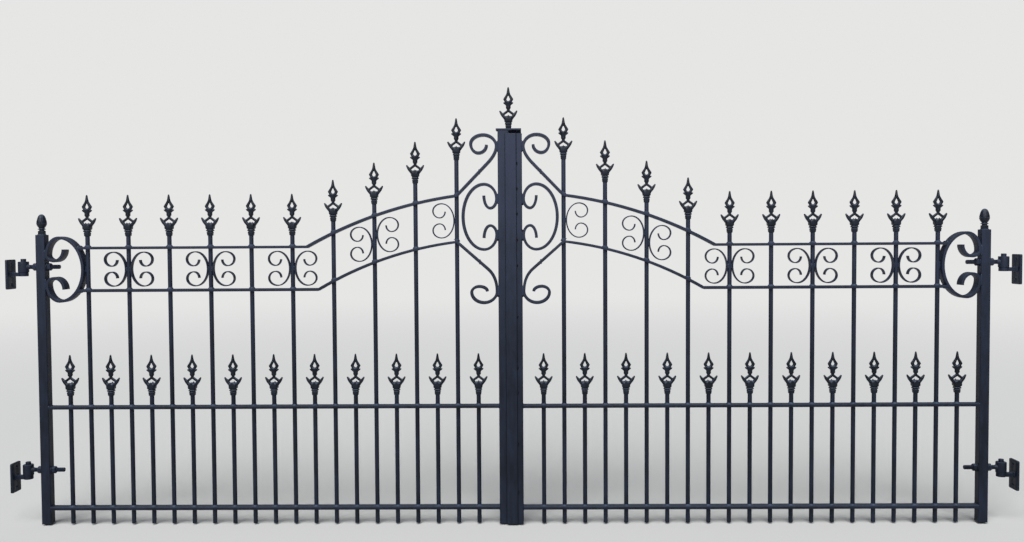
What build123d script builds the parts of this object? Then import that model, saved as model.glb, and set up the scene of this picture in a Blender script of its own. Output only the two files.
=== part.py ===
from build123d import *
from math import atan2, cos, pi, sin, sqrt
import os

# Double garden gate of forged and cast iron: two leaves of round bars in flat punched rails, with cast
# spearheads on every bar, C-scrolls in the band under the heads, and a larger scroll beside each stile.
# Millimetres. While it is modelled, X runs along the gate from its middle, Y away from the front, Z up from
# the feet of the stiles. Every piece is drawn on the left leaf and mirrored for the right one.

# The two leaves
leaf_width = 1750.0  # outside of the hinge stile to outside of the meeting stile
leaf_gap = 9.0  # between the two meeting stiles
leaf_setback = 5.5  # the left leaf hangs this much further back, clear of the cover strip
meeting_tube = 40.0  # square tube of the two meeting stiles
hinge_tube = 35.0  # square tube of the two hinge stiles
tube_wall = 3.0
hinge_stile_height = 1080.0
meeting_stile_height = 1440.0
fit_clearance = 0.3  # round a bar or a bolt in its hole

# Flat stock of the rails and large scrolls, laid flat, and the round bars that pass through the rails
rail_depth = 40.0
rail_thickness = 10.0
bar_diameter = 16.0
bar_sides = 6
gaps_per_leaf = 22
bottom_rail_height = 58.0
middle_rail_height = 436.0
band_drop = 50.0  # from the top of the hinge stile to the upper band rail
band_spacing = 158.0  # between the two band rails
bar_end = 44.0  # of each bar above its last rail
rising_bar_ends = {2: 88.0, 4: 31.0}  # more than that, by bar number counted from the middle

# The two band rails rise in a shallow arc to the last long bar, and break there towards the meeting stile. Drops
# are from the top of the meeting stile to the upper rail, lengths from the stile's face.
kink_bar = 2
kink_drop = 225.0
kink_spacing = 170.0  # between the two rails at their breaks
upper_rise_length = 706.5
lower_rise_length = 665.5
joint_drop = 138.0  # to where a volute is welded on
joint_spacing = 331.0
joint_reach = 68.3
arc_bulge = 28.0
arc_steps = 4

# Cast spearhead: the right half of its outline from the front and from the side, from the socket up past the
# cup, leaf, neck and lantern to the point, and the right half of the two openings through it
head_front = (
    (9.5, 0.0),
    (14.5, 25.0),
    (14.5, 38.0),
    (33.0, 67.0),
    (19.5, 55.5),
    (5.5, 66.0),
    (9.5, 86.0),
    (18.2, 94.5),
    (13.3, 101.0),
    (19.0, 108.0),
    (7.0, 130.0),
    (0.0, 153.0),
)
head_side = ((9.5, 0.0), (14.5, 25.0), (14.5, 38.0), (6.5, 47.0), (6.5, 108.0), (0.0, 153.0))
crown_opening = ((12.5, 48.0), (0.0, 60.5))
lantern_opening = ((0.0, 101.0), (6.2, 109.0), (0.0, 121.0))

# Small C-scroll of thin strip: its back stands on a bar and its curls open away from it
c_clearance = 9.0  # above it and below it, to the band rails
c_width = 82.0
c_strip = 4.0
c_depth = 20.0
c_top_x = 48.0
c_side_height = 36.0
c_turn_height = 9.0
c_turn_x = 55.0
c_end = (35.0, 34.0)
pair_bars = (6, 10, 14, 18)
c_steps = (3, 2, 2, 1)  # straight pieces in each quarter turn, from its back to the end of a curl
large_steps = (3, 3, 2, 2)
seat = 0.3  # between a scroll and what it stands on

# Large C-scroll beside the hinge stile
outer_overhang = 38.5  # past each band rail
outer_top_x = 92.0  # of the crest, from the bar that its back stands on
outer_turn_x = 111.0  # where a curl turns back
outer_turn_height = 32.0
outer_end_x = 76.0
outer_side_height = 54.0
outer_end_height = 74.0

# Large C-scroll beside the meeting stile
inner_half_height = 120.0
inner_reach = 134.0  # from the stile to its back
inner_top_x = 51.5
inner_turn_x = 29.0
inner_turn_height = 32.0
inner_side_height = 66.0
inner_end_x = 52.0
inner_end_height = 78.0

# Volutes in which the band rails end against the meeting stile: heights above the joint with the rail
volute_straight = 30.0  # before it bends, in line with its rail
volute_steps = 3
volute_crest_x = 53.0
volute_reach = 99.0
volute_turn_x = 71.0
volute_end_x = 41.0
upper_volute_rises = (93.0, 135.0, 102.0, 69.0, 98.0)
lower_volute_rises = (-109.0, -151.0, -113.0, -91.0, -109.0)

# Acorn finial on the hinge stile, on a small square block
block_width = 20.5
block_height = 15.0
acorn_outline = ((9.5, 0.0), (14.5, 6.0), (10.0, 10.5), (15.5, 19.0), (18.5, 29.0), (15.0, 43.0), (9.0, 57.0),
                 (0.0, 61.0))
acorn_sides = 8

# Cap plate on the left meeting stile, with the middle spearhead, and the cover strip on the right one
cap_width = 93.0
cap_thickness = 6.0
cap_front = 22.0  # from the middle of the leaf to the plate's front edge
cap_back = 26.0
cap_lift = 13.0  # the left meeting stile is this much taller, so that the plate swings clear of the right one
stop_width = 46.5  # lip under the plate's back edge, behind the top of the right meeting stile
stop_thickness = 6.0
stop_height = 18.0
strip_width = 40.0
strip_thickness = 5.0
strip_overlap = 17.0  # past the middle, over the left leaf

# Adjustable hinges: eye bolts through the hinge stiles, on hooks with a plate for the post or wall
lower_eye_height = 202.0
upper_eye_drop = 119.0  # from the top of the hinge stile
eye_reach = 54.0  # from the stile's outer face to the eye's axis
eye_diameter = 38.0
eye_height = 40.0
eye_sides = 8
bolt_diameter = 16.0
bolt_end = 48.0  # past the inner face of the stile
pin_diameter = 19.0
pin_end = 10.0  # above the eye
boss_diameter = 34.0
boss_height = 14.0
hook_arm_width = 20.0
plate_reach = 53.0  # from the eye's axis to the wall
plate_thickness = 8.0
plate_width = 60.0
plate_height = 110.0
plate_hole = 11.0
plate_hole_spacing = 76.0

# Places and sizes that follow from those above
middle_face = -leaf_gap / 2
stile_face = middle_face - meeting_tube  # inner face of the meeting stile
hinge_face = middle_face - leaf_width + hinge_tube  # inner face of the hinge stile
hinge_outer_face = hinge_face - hinge_tube
hinge_axis = hinge_outer_face - eye_reach
plate_face = hinge_axis - plate_reach
bar_pitch = (stile_face - hinge_face) / gaps_per_leaf
long_bars = range(2, gaps_per_leaf, 2)
short_bars = range(1, gaps_per_leaf, 2)
upper_band_height = hinge_stile_height - band_drop
lower_band_height = upper_band_height - band_spacing
band_middle = upper_band_height - band_spacing / 2
c_height = band_spacing - rail_thickness - 2 * c_clearance
outer_half_height = band_spacing / 2 + outer_overhang
half_strip = rail_thickness / 2
seated = half_strip + seat  # middle of a large scroll's strip from the face that it leans on
eye_heights = (lower_eye_height, hinge_stile_height - upper_eye_drop)
eye_seat = -eye_height / 2 - fit_clearance  # top of a hook's boss, from the eye's middle
arm_middle = eye_seat - boss_height / 2  # also the middle of the plate
to_frame = Pos(-plate_face, -leaf_setback, -(lower_eye_height + arm_middle))


def bar_x(number):
    return stile_face - number * bar_pitch


def upright_slab(half_outline, reach):
    """A symmetrical outline, given by its right half, cut right through from the front."""
    mirrored = [(-x, z) for x, z in reversed(half_outline) if x]
    outline = Polyline(*half_outline, *mirrored, close=True)
    return extrude(Plane.XZ * make_face(outline), reach, both=True)


def turned(outline, sides):
    """A casting of the same outline on every side, nearly round with 8 of them."""
    widest = max(r for r, z in outline)
    slab = upright_slab(outline, 2 * widest)
    body = slab
    for step in range(1, sides // 2):
        body = body & Rot(0, 0, 360 * step / sides) * slab
    return body


def prism(diameter, height, sides=bar_sides):
    """An upright bar of few sides, measured across its flats."""
    outline = RegularPolygon(diameter / 2, sides, major_radius=False, rotation=180 / sides)
    return extrude(outline, height)


def strip(points, thickness, depth):
    """Flat stock bent edgewise along a line of points in the gate's plane, with mitred corners."""
    left, right = [], []
    for i, (x, z) in enumerate(points):
        before = points[max(i - 1, 0)]
        after = points[min(i + 1, len(points) - 1)]
        turn_in = atan2(z - before[1], x - before[0]) if i else None
        turn_out = atan2(after[1] - z, after[0] - x) if i < len(points) - 1 else turn_in
        turn_in = turn_out if turn_in is None else turn_in
        half_turn = ((turn_out - turn_in + pi) % (2 * pi) - pi) / 2
        reach = thickness / 2 / cos(half_turn)
        across = turn_in + half_turn + pi / 2
        left.append((x + reach * cos(across), z + reach * sin(across)))
        right.append((x - reach * cos(across), z - reach * sin(across)))
    outline = Polyline(*left, *reversed(right), close=True)
    return extrude(Plane.XZ * make_face(outline), depth / 2, both=True)


def quarter_turns(points, steps, upright=True):
    """A line through the points in quarter ellipses, upright and level at every other point."""
    line = [points[0]]
    for (x0, z0), (x1, z1), count in zip(points, points[1:], steps):
        for step in range(1, count + 1):
            turn = step / count * pi / 2
            if upright:
                line.append((x1 + (x0 - x1) * cos(turn), z0 + (z1 - z0) * sin(turn)))
            else:
                line.append((x0 + (x1 - x0) * sin(turn), z1 + (z0 - z1) * cos(turn)))
        upright = not upright
    return line


def c_scroll(half_line):
    """The whole C from the half above its middle, listed as offsets from there."""
    return [(x, -z) for x, z in reversed(half_line[1:])] + half_line


# Rails

def arc_line(start, end):
    """Points from start to end on an arc that bulges upwards over its chord."""
    dx, dz = end[0] - start[0], end[1] - start[1]
    chord = sqrt(dx * dx + dz * dz)
    radius = (chord * chord / 4 + arc_bulge * arc_bulge) / (2 * arc_bulge)
    half_angle = atan2(chord / 2, radius - arc_bulge)
    slope = atan2(dz, dx)
    line = []
    for step in range(arc_steps + 1):
        turn = half_angle * (2 * step / arc_steps - 1)
        along = chord / 2 + radius * sin(turn)
        above = radius * cos(turn) - (radius - arc_bulge)
        line.append((start[0] + along * cos(slope) - above * sin(slope),
                     start[1] + along * sin(slope) + above * cos(slope)))
    return line


def outer_scroll_x(height):
    """Middle of the outer scroll's strip where a band rail meets it."""
    crest_x = bar_x(long_bars[-1]) - bar_diameter / 2 - outer_top_x
    width = outer_top_x - seated
    rise = (height - band_middle) / outer_half_height
    return crest_x + width * sqrt(1 - rise * rise)


def band_line(height, rise_length, kink_height, joint_height):
    kink = (bar_x(kink_bar), kink_height)
    return ([(outer_scroll_x(height), height)] + arc_line((stile_face - rise_length, height), kink)
            + [(stile_face - joint_reach, joint_height)])


def height_on(line, x):
    """Height of a line of points at x."""
    for (x0, z0), (x1, z1) in zip(line, line[1:]):
        if x0 <= x <= x1:
            return z0 + (z1 - z0) * (x - x0) / (x1 - x0)
    raise ValueError("x lies beside the line")


upper_kink_height = meeting_stile_height - kink_drop
upper_joint_height = meeting_stile_height - joint_drop
upper_line = band_line(upper_band_height, upper_rise_length, upper_kink_height, upper_joint_height)
lower_line = band_line(lower_band_height, lower_rise_length, upper_kink_height - kink_spacing,
                       upper_joint_height - joint_spacing)


def punch(rail, numbers, lowest, highest):
    """The rail with a hole for each bar that passes through it."""
    hole = prism(bar_diameter + 2 * fit_clearance, highest - lowest)
    for number in numbers:
        rail = rail - Pos(bar_x(number), 0, lowest) * hole
    return rail


def straight_rail(height):
    line = [(hinge_face, height), (stile_face, height)]
    rail = strip(line, rail_thickness, rail_depth)
    numbers = [*long_bars, *short_bars]
    return [punch(rail, numbers, height - rail_thickness, height + rail_thickness)]


def band_rail(line):
    heights = [z for x, z in line]
    rail = strip(line, rail_thickness, rail_depth) - outer_scroll()[0]
    return [punch(rail, long_bars, min(heights) - rail_thickness, max(heights) + rail_thickness)]


# Stiles

def square_tube(x_middle, tube, height):
    """Stile open at the foot and closed at the top."""
    outside = Pos(x_middle, 0, height / 2) * Box(tube, tube, height)
    bore = tube - 2 * tube_wall
    inside_height = height - tube_wall
    return outside - Pos(x_middle, 0, inside_height / 2) * Box(bore, bore, inside_height)


def bolt_hole(height):
    """Cross hole through the hinge stile for an eye bolt."""
    hole = prism(bolt_diameter + 2 * fit_clearance, 3 * hinge_tube)
    return Pos(hinge_outer_face - hinge_tube, 0, height) * Rot(0, 90, 0) * hole


def hinge_stile():
    stile = square_tube(hinge_outer_face + hinge_tube / 2, hinge_tube, hinge_stile_height)
    for height in eye_heights:
        stile = stile - bolt_hole(height)
    return [stile]


def meeting_stile(height):
    return [square_tube(stile_face + meeting_tube / 2, meeting_tube, height)]


# Bars and spearheads

def bars(tops):
    return [Pos(bar_x(number), 0, 0) * prism(bar_diameter, top) for number, top in tops.items()]


def spearhead():
    """Flat casting on a square socket and cup: two leaves on ribs, a neck, and an open lantern and point."""
    reach = 2 * max(x for x, z in head_front)
    head = upright_slab(head_front, reach) & Rot(0, 0, 90) * upright_slab(head_side, reach)
    for opening in (crown_opening, lantern_opening):
        head = head - upright_slab(opening, reach)
    return head


def heads(tops):
    head = spearhead()
    return [Pos(bar_x(number), 0, top) * head for number, top in tops.items()]


# Scrolls

def small_scrolls():
    half = quarter_turns([(c_strip / 2 + seat, 0.0),
                          (c_top_x, (c_height - c_strip) / 2),
                          (c_width - c_strip / 2, c_side_height),
                          (c_turn_x, c_turn_height + c_strip / 2),
                          c_end], c_steps)
    right_opening = strip(c_scroll(half), c_strip, c_depth)
    left_opening = mirror(right_opening, about=Plane.YZ)
    placed = []
    for number in (kink_bar, *pair_bars):
        for side, scroll in ((-1, left_opening), (1, right_opening)):
            if number == kink_bar and side > 0:
                continue
            back_x = bar_x(number) + side * bar_diameter / 2
            middle_x = back_x + side * c_width / 2
            middle = (height_on(lower_line, middle_x) + height_on(upper_line, middle_x)) / 2
            placed.append(Pos(back_x, 0, middle) * scroll)
    return placed


def outer_scroll():
    back_x = bar_x(long_bars[-1]) - bar_diameter / 2
    half = quarter_turns([(back_x - seated, 0.0),
                          (back_x - outer_top_x, outer_half_height),
                          (hinge_face + seated, outer_side_height),
                          (back_x - outer_turn_x, outer_turn_height),
                          (back_x - outer_end_x, outer_end_height)], large_steps)
    return [Pos(0, 0, band_middle) * strip(c_scroll(half), rail_thickness, rail_depth)]


def inner_scroll():
    half = quarter_turns([(stile_face - inner_reach + half_strip, 0.0),
                          (stile_face - inner_top_x, inner_half_height),
                          (stile_face - seated, inner_side_height),
                          (stile_face - inner_turn_x, inner_turn_height),
                          (stile_face - inner_end_x, inner_end_height)], large_steps)
    middle = (upper_line[-1][1] + lower_line[-1][1]) / 2
    return [Pos(0, 0, middle) * strip(c_scroll(half), rail_thickness, rail_depth)]


def volute(line, rises):
    """Strip from the end of a band rail up or down to the stile, along it, and into a curl."""
    (kink_x, kink_z), (joint_x, joint_z) = line[-2:]
    heights = [joint_z + rise for rise in rises]
    slope = (joint_z - kink_z) / (joint_x - kink_x)
    stile_x = stile_face - seated
    start_x = joint_x + volute_straight
    start_z = joint_z + slope * volute_straight
    corner_z = start_z + slope * (stile_x - start_x)
    points = [(joint_x, joint_z), (start_x, start_z)]
    for step in range(1, volute_steps):
        t = step / volute_steps
        bend_x = start_x + (stile_x - start_x) * (1 - (1 - t) ** 2)
        bend_z = start_z * (1 - t) ** 2 + 2 * t * (1 - t) * corner_z + heights[0] * t ** 2
        points.append((bend_x, bend_z))
    curl = quarter_turns([(stile_x, heights[0]),
                          (stile_face - volute_crest_x, heights[1]),
                          (stile_face - volute_reach, heights[2]),
                          (stile_face - volute_turn_x, heights[3]),
                          (stile_face - volute_end_x, heights[4])], large_steps)
    return [strip(points + curl, rail_thickness, rail_depth)]


# Finials, cap plate and cover strip

def acorn_finial():
    x = hinge_outer_face + hinge_tube / 2
    block = Pos(x, 0, hinge_stile_height + block_height / 2) * Box(block_width, block_width, block_height)
    return [block + Pos(x, 0, hinge_stile_height + block_height) * turned(acorn_outline, acorn_sides)]


def cap_plate():
    y = (cap_back - cap_front) / 2
    height = meeting_stile_height + cap_lift + cap_thickness / 2
    return [Pos(middle_face, y, height) * Box(cap_width, cap_front + cap_back, cap_thickness)]


def cap_stop():
    x = middle_face + cap_width / 2 - stop_width / 2
    y = cap_back - stop_thickness / 2
    height = meeting_stile_height + cap_lift - stop_height / 2
    return [Pos(x, y, height) * Box(stop_width, stop_thickness, stop_height)]


def middle_spearhead():
    return [Pos(middle_face, 0, meeting_stile_height + cap_lift + cap_thickness) * spearhead()]


def cover_strip():
    """Drawn as on the left leaf, like every piece, and mirrored on to the right one."""
    x = strip_overlap - strip_width / 2
    y = -(meeting_tube + strip_thickness) / 2
    return [Pos(x, y, meeting_stile_height / 2) * Box(strip_width, strip_thickness, meeting_stile_height)]


# Hinges

def eye_bolt(height):
    """Forged eye on a round bolt that runs through the stile."""
    ring = Pos(0, 0, -eye_height / 2) * prism(eye_diameter, eye_height, eye_sides)
    rod = Rot(0, 90, 0) * prism(bolt_diameter, eye_reach + hinge_tube + bolt_end)
    bore = Cylinder(pin_diameter / 2 + fit_clearance, 2 * eye_height)
    return Pos(hinge_axis, 0, height) * (ring + rod - bore)


def eye_bolts():
    return [eye_bolt(height) for height in eye_heights]


def hook(height):
    """Wall hook: a pin on a boss, carried by an arm from a plate with a bolt hole above and below it."""
    pin_length = eye_height + 2 * fit_clearance + pin_end
    pin = Pos(0, 0, eye_seat + pin_length / 2) * Cylinder(pin_diameter / 2, pin_length)
    boss = Pos(0, 0, eye_seat - boss_height) * prism(boss_diameter, boss_height, eye_sides)
    arm_length = plate_reach - plate_thickness
    arm = Pos(-arm_length / 2, 0, arm_middle) * Box(arm_length, hook_arm_width, boss_height)
    plate = Box(plate_thickness, plate_width, plate_height)
    hole = Rot(0, 90, 0) * Cylinder(plate_hole / 2, 2 * plate_thickness)
    for rise in (-plate_hole_spacing / 2, plate_hole_spacing / 2):
        plate = plate - Pos(0, 0, rise) * hole
    plate = Pos(-plate_reach + plate_thickness / 2, 0, arm_middle) * plate
    return [Pos(hinge_axis, 0, height) * (pin + boss + arm + plate)]


# Pieces of each leaf, and of one leaf alone

short_bar_tops = {number: middle_rail_height + bar_end for number in short_bars}
long_bar_tops = {number: height_on(upper_line, bar_x(number)) + bar_end + rising_bar_ends.get(number, 0.0)
                 for number in long_bars}
lower_eye, upper_eye = eye_heights
leaf_pieces = {
    "hinge_stile": hinge_stile(),
    "acorn_finial": acorn_finial(),
    "bottom_rail": straight_rail(bottom_rail_height),
    "middle_rail": straight_rail(middle_rail_height),
    "lower_band_rail": band_rail(lower_line),
    "upper_band_rail": band_rail(upper_line),
    "long_bars": bars(long_bar_tops),
    "short_bars": bars(short_bar_tops),
    "long_bar_spearheads": heads(long_bar_tops),
    "short_bar_spearheads": heads(short_bar_tops),
    "outer_scroll": outer_scroll(),
    "inner_scroll": inner_scroll(),
    "small_scrolls": small_scrolls(),
    "upper_volute": volute(upper_line, upper_volute_rises),
    "lower_volute": volute(lower_line, lower_volute_rises),
    "eye_bolts": eye_bolts(),
    "lower_hook": hook(lower_eye),
    "upper_hook": hook(upper_eye),
}
left_pieces = {
    "meeting_stile": meeting_stile(meeting_stile_height + cap_lift),
    "cap_plate": cap_plate(),
    "cap_stop": cap_stop(),
    "middle_spearhead": middle_spearhead(),
}
right_pieces = {
    "meeting_stile": meeting_stile(meeting_stile_height),
    "cover_strip": cover_strip(),
}


def save(name, solids):
    placed = [to_frame * solid for solid in solids]
    export_step(placed[0] if len(placed) == 1 else Compound(children=placed), f"parts/{name}.step")


os.makedirs("parts", exist_ok=True)
for name, solids in {**leaf_pieces, **left_pieces}.items():
    save("left_" + name, [Pos(0, leaf_setback, 0) * solid for solid in solids])
for name, solids in {**leaf_pieces, **right_pieces}.items():
    save("right_" + name, [mirror(solid, about=Plane.YZ) for solid in solids])
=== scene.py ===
from math import atan2, copysign, cos, pi, radians, sin, sqrt, tau

import bmesh
import bpy
from mathutils import Euler, Matrix, Vector, noise


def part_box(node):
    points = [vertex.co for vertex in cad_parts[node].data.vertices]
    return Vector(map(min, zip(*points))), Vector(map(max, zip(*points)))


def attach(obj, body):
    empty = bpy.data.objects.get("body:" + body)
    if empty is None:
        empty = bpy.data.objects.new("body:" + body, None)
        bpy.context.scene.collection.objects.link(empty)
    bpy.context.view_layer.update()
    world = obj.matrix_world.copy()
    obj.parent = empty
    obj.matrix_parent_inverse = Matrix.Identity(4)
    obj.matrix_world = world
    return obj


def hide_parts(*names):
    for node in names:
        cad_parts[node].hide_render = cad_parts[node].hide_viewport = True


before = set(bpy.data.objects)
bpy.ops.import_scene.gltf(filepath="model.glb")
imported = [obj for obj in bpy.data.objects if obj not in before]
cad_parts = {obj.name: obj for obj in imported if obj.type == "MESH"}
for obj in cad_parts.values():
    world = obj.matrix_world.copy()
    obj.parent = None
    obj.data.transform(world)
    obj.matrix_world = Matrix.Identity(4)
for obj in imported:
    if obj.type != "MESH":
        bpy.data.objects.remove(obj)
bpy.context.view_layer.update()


# The gate in its frame. Both leaves are drawn once, as the left one, with X from the gate's middle,
# Y from the leaf's own plane and Z up from its feet, and are then hung in their places.
mm = 0.001
stile_low, stile_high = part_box("left_meeting_stile")
right_stile_low, right_stile_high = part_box("right_meeting_stile")
middle_x = (stile_high.x + right_stile_low.x) / 2
foot_z = stile_low.z
leaf_plane = {
    "left": (stile_low.y + stile_high.y) / 2,
    "right": (right_stile_low.y + right_stile_high.y) / 2,
}
sides = ("left", "right")


def new_object(name, data):
    """An object in the scene."""
    made = bpy.data.objects.new(name, data)
    bpy.context.collection.objects.link(made)
    return made


def hang(mesh, name, side, replaced=(), slot="painted_steel", body=None):
    """Hangs a copy of a mesh, which is drawn as on the left leaf, in its place on one side."""
    across = -1 if side == "right" else 1
    mesh = mesh.copy()
    place = Matrix.Translation((middle_x, leaf_plane[side], foot_z))
    mesh.transform(place @ Matrix.Diagonal((across, 1, 1, 1)))
    if side == "right":
        mesh.flip_normals()
    piece = new_object(f"{side}_{name}", mesh)
    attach(piece, body or f"{side}_leaf")
    if replaced:
        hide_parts(*[f"{side}_{node}" for node in replaced])


def hang_both(mesh, name, replaced=(), **how):
    for side in sides:
        hang(mesh, name, side, replaced, **how)


# Camera, floor and light. The photograph was taken nearly square on, from chest height, on a dull
# day. Here the gate stands on a plain pale floor that fades into the backdrop, under one soft lamp.
photo_width = 1024
focal_pixels = 934.6
camera_distance = 3.45
camera_height = 1.060  # above the feet
camera_aside = 0.043  # to the right of the middle
camera_turn = radians(0.62)  # to the left
camera_dip = radians(2.05)
camera_roll = radians(-0.33)
floor_drop = 0.006  # below the feet, so that the leaves swing free of it
floor_reach = 60.0
fade_start, fade_end = 3.0, 14.0  # from the gate's middle
daylight_strength = 0.17
lamp_power = 3.3
lamp_spread = radians(50)
lamp_turn = Euler((radians(44), radians(-10), 0))

camera = new_object("camera", bpy.data.cameras.new("camera"))
camera.data.sensor_width = 36
camera.data.lens = focal_pixels / photo_width * camera.data.sensor_width
aim = (Matrix.Rotation(camera_turn, 4, "Z") @ Matrix.Rotation(pi / 2 - camera_dip, 4, "X")
       @ Matrix.Rotation(camera_roll, 4, "Z"))
camera.matrix_world = Matrix.Translation(
    (middle_x + camera_aside, -camera_distance, foot_z + camera_height)) @ aim
bpy.context.scene.camera = camera
bpy.context.scene.view_settings.view_transform = "Standard"


def linear(code):
    """The linear colour of an sRGB hex value."""
    def channel(start):
        value = int(code[start:start + 2], 16) / 255
        return value / 12.92 if value <= 0.04045 else ((value + 0.055) / 1.055) ** 2.4
    return channel(1), channel(3), channel(5), 1.0


def node_adder(tree, family=""):
    """A function that adds a node to the tree. Each of its inputs takes a value or an output."""
    def add(kind, inputs=None, **settings):
        node = tree.nodes.new(family + kind)
        for name, value in settings.items():
            setattr(node, name, value)
        for name, value in (inputs or {}).items():
            if isinstance(value, bpy.types.NodeSocket):
                tree.links.new(value, node.inputs[name])
            else:
                node.inputs[name].default_value = value
        return node
    return add


floor_mesh = bpy.data.meshes.new("floor")
floor_corners = [(x * floor_reach, y * floor_reach, foot_z - floor_drop)
                 for x, y in ((-1, -1), (1, -1), (1, 1), (-1, 1))]
floor_mesh.from_pydata(floor_corners, [], [(0, 1, 2, 3)])
floor = new_object("floor", floor_mesh)
backdrop_colour = linear("#e6e6e5")
# Matt paint: the eye sees the gate's soft shadow on it, and no shine.
floor_paint = bpy.data.materials.new("matt_pale_floor")
floor_paint.use_nodes = True
floor_paint.node_tree.nodes.clear()
add = node_adder(floor_paint.node_tree, "ShaderNode")
spot = add("TexCoord").outputs["Object"]
away = add("VectorMath", {0: spot, 1: (middle_x, 0, 0)}, operation="DISTANCE")
fade = add("MapRange", {"Value": away.outputs["Value"], "From Min": fade_start,
                        "From Max": fade_end}, interpolation_type="SMOOTHSTEP")
matt = add("BsdfDiffuse", {"Color": linear("#e0e0de")})
far_floor = add("Emission", {"Color": backdrop_colour})
faded = add("MixShader", {0: fade.outputs[0], 1: matt.outputs[0], 2: far_floor.outputs[0]})
add("OutputMaterial", {"Surface": faded.outputs[0]})
floor_mesh.materials.append(floor_paint)

world = bpy.data.worlds.new("pale_room")
bpy.context.scene.world = world
world.use_nodes = True
world.node_tree.nodes.clear()
add = node_adder(world.node_tree, "ShaderNode")
seen = add("LightPath").outputs["Is Camera Ray"]
daylight = add("Background", {"Color": linear("#dfe7f2"), "Strength": daylight_strength})
backdrop = add("Background", {"Color": backdrop_colour, "Strength": 1.0})
either = add("MixShader", {0: seen, 1: daylight.outputs[0], 2: backdrop.outputs[0]})
add("OutputWorld", {"Surface": either.outputs[0]})

sky = new_object("soft_sky", bpy.data.lights.new("soft_sky", "SUN"))
sky.data.energy = lamp_power
sky.data.angle = lamp_spread
sky.rotation_euler = lamp_turn


# The paint on the steel: brushed-on satin black with a blue cast, over hot-rolled mild steel. The
# eye sees a soft sheen, a grey bloom of dust with painted top light on what faces up, and painted
# light that pales the colour towards the top, over a darker and duller foot.
# Painted light: over this span of height the paint's colour pales towards this colour at the top.
top_light_from, top_light_to = 0.45, 1.45  # above the feet
top_light_colour = linear("#4b5573")
dull_foot, glossy_top = 0.36, 0.5  # specular levels
satin_ior = 1.38  # fresh enamel has 1.5
patches_per_metre = 9.0
specks_per_metre = 160.0
stroke_width = 14 * mm
stroke_squeeze = 0.2  # strokes hang down five times as long as they are wide
shade_start, shade_end = 0.8, 1.25  # of patches and strokes together
gloss_start, gloss_end = 0.3, 0.75  # of the patches
dust_and_light_start, dust_and_light_end = 0.12, 0.75  # of how far a face looks up, times the specks
most_dust_and_light = 0.8


def satin_paint(name, deep, dust_and_top_light_colour, grain, relief, roughness, top_light=0.0):
    """Satin paint in two close shades in brush strokes, with dust and painted top light on upper
    faces.

    The grain is its orange peel. A real one is 1 mm across or less: it is coarser here, to show."""
    material = bpy.data.materials.new(name)
    material.use_nodes = True
    tree = material.node_tree
    shader = tree.nodes["Principled BSDF"]
    add = node_adder(tree, "ShaderNode")

    def spread(value, start, end, low=0.0, high=1.0, way="LINEAR"):
        """The value, taken from the span of start and end to that of low and high."""
        return add("MapRange", {"Value": value, "From Min": start, "From Max": end, "To Min": low,
                                "To Max": high}, interpolation_type=way).outputs[0]

    def mixed(share, first, second):
        return add("Mix", {0: share, 6: first, 7: second}, data_type="RGBA").outputs[2]

    place = add("TexCoord").outputs["Object"]
    hanging = add("Mapping", {"Vector": place, "Scale": (1, 1, stroke_squeeze)}).outputs[0]
    patches = add("TexNoise", {"Vector": place, "Scale": patches_per_metre, "Detail": 5.0})
    strokes = add("TexNoise", {"Vector": hanging, "Scale": 1 / stroke_width, "Detail": 3.0})
    uneven = add("Math", {0: patches.outputs["Fac"], 1: strokes.outputs["Fac"]}, operation="ADD")
    shade = spread(uneven.outputs[0], shade_start, shade_end)
    paint = mixed(shade, linear(deep[0]), linear(deep[1]))
    rise = add("SeparateXYZ", {0: place}).outputs["Z"]
    # Painted light: the colour pales towards the top, as if lit more from above; the specular level
    # rises with it.
    top_lit_share, polished = [
        spread(rise, foot_z + top_light_from, foot_z + top_light_to, low, high, "SMOOTHSTEP")
        for low, high in ((0.0, top_light), (dull_foot, glossy_top))]
    top_lit_paint = mixed(top_lit_share, paint, top_light_colour)
    # Dust and painted top light: faces that look up turn lighter, in specks.
    upward = add("SeparateXYZ", {0: add("NewGeometry").outputs["Normal"]}).outputs["Z"]
    specks = add("TexNoise", {"Vector": place, "Scale": specks_per_metre, "Detail": 4.0})
    upward_specks = add("Math", {0: upward, 1: specks.outputs["Fac"]}, operation="MULTIPLY")
    dust_and_top_light_share = spread(upward_specks.outputs[0], dust_and_light_start, dust_and_light_end, high=most_dust_and_light)
    dusty_and_top_lit = mixed(dust_and_top_light_share, top_lit_paint, linear(dust_and_top_light_colour))
    gloss = spread(patches.outputs["Fac"], gloss_start, gloss_end, *roughness)
    peel = add("TexNoise",
               {"Vector": hanging, "Scale": 1 / grain, "Detail": 3.0, "Roughness": 0.6})
    bump = add("Bump", {"Height": peel.outputs["Fac"], "Distance": relief, "Strength": 0.8})
    for socket, output in (("Base Color", dusty_and_top_lit), ("Specular IOR Level", polished),
                           ("Roughness", gloss), ("Normal", bump.outputs[0])):
        tree.links.new(output, shader.inputs[socket])
    shader.inputs["IOR"].default_value = satin_ior
    return material


# Dust with a little painted top light on the faces that look up, and painted light paling its upper
# half.
steel_paint = satin_paint("satin_black_paint_on_steel", ("#0b121f", "#172031"), "#505969",
                          grain=4 * mm, relief=0.25 * mm, roughness=(0.46, 0.6), top_light=0.25)


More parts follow.
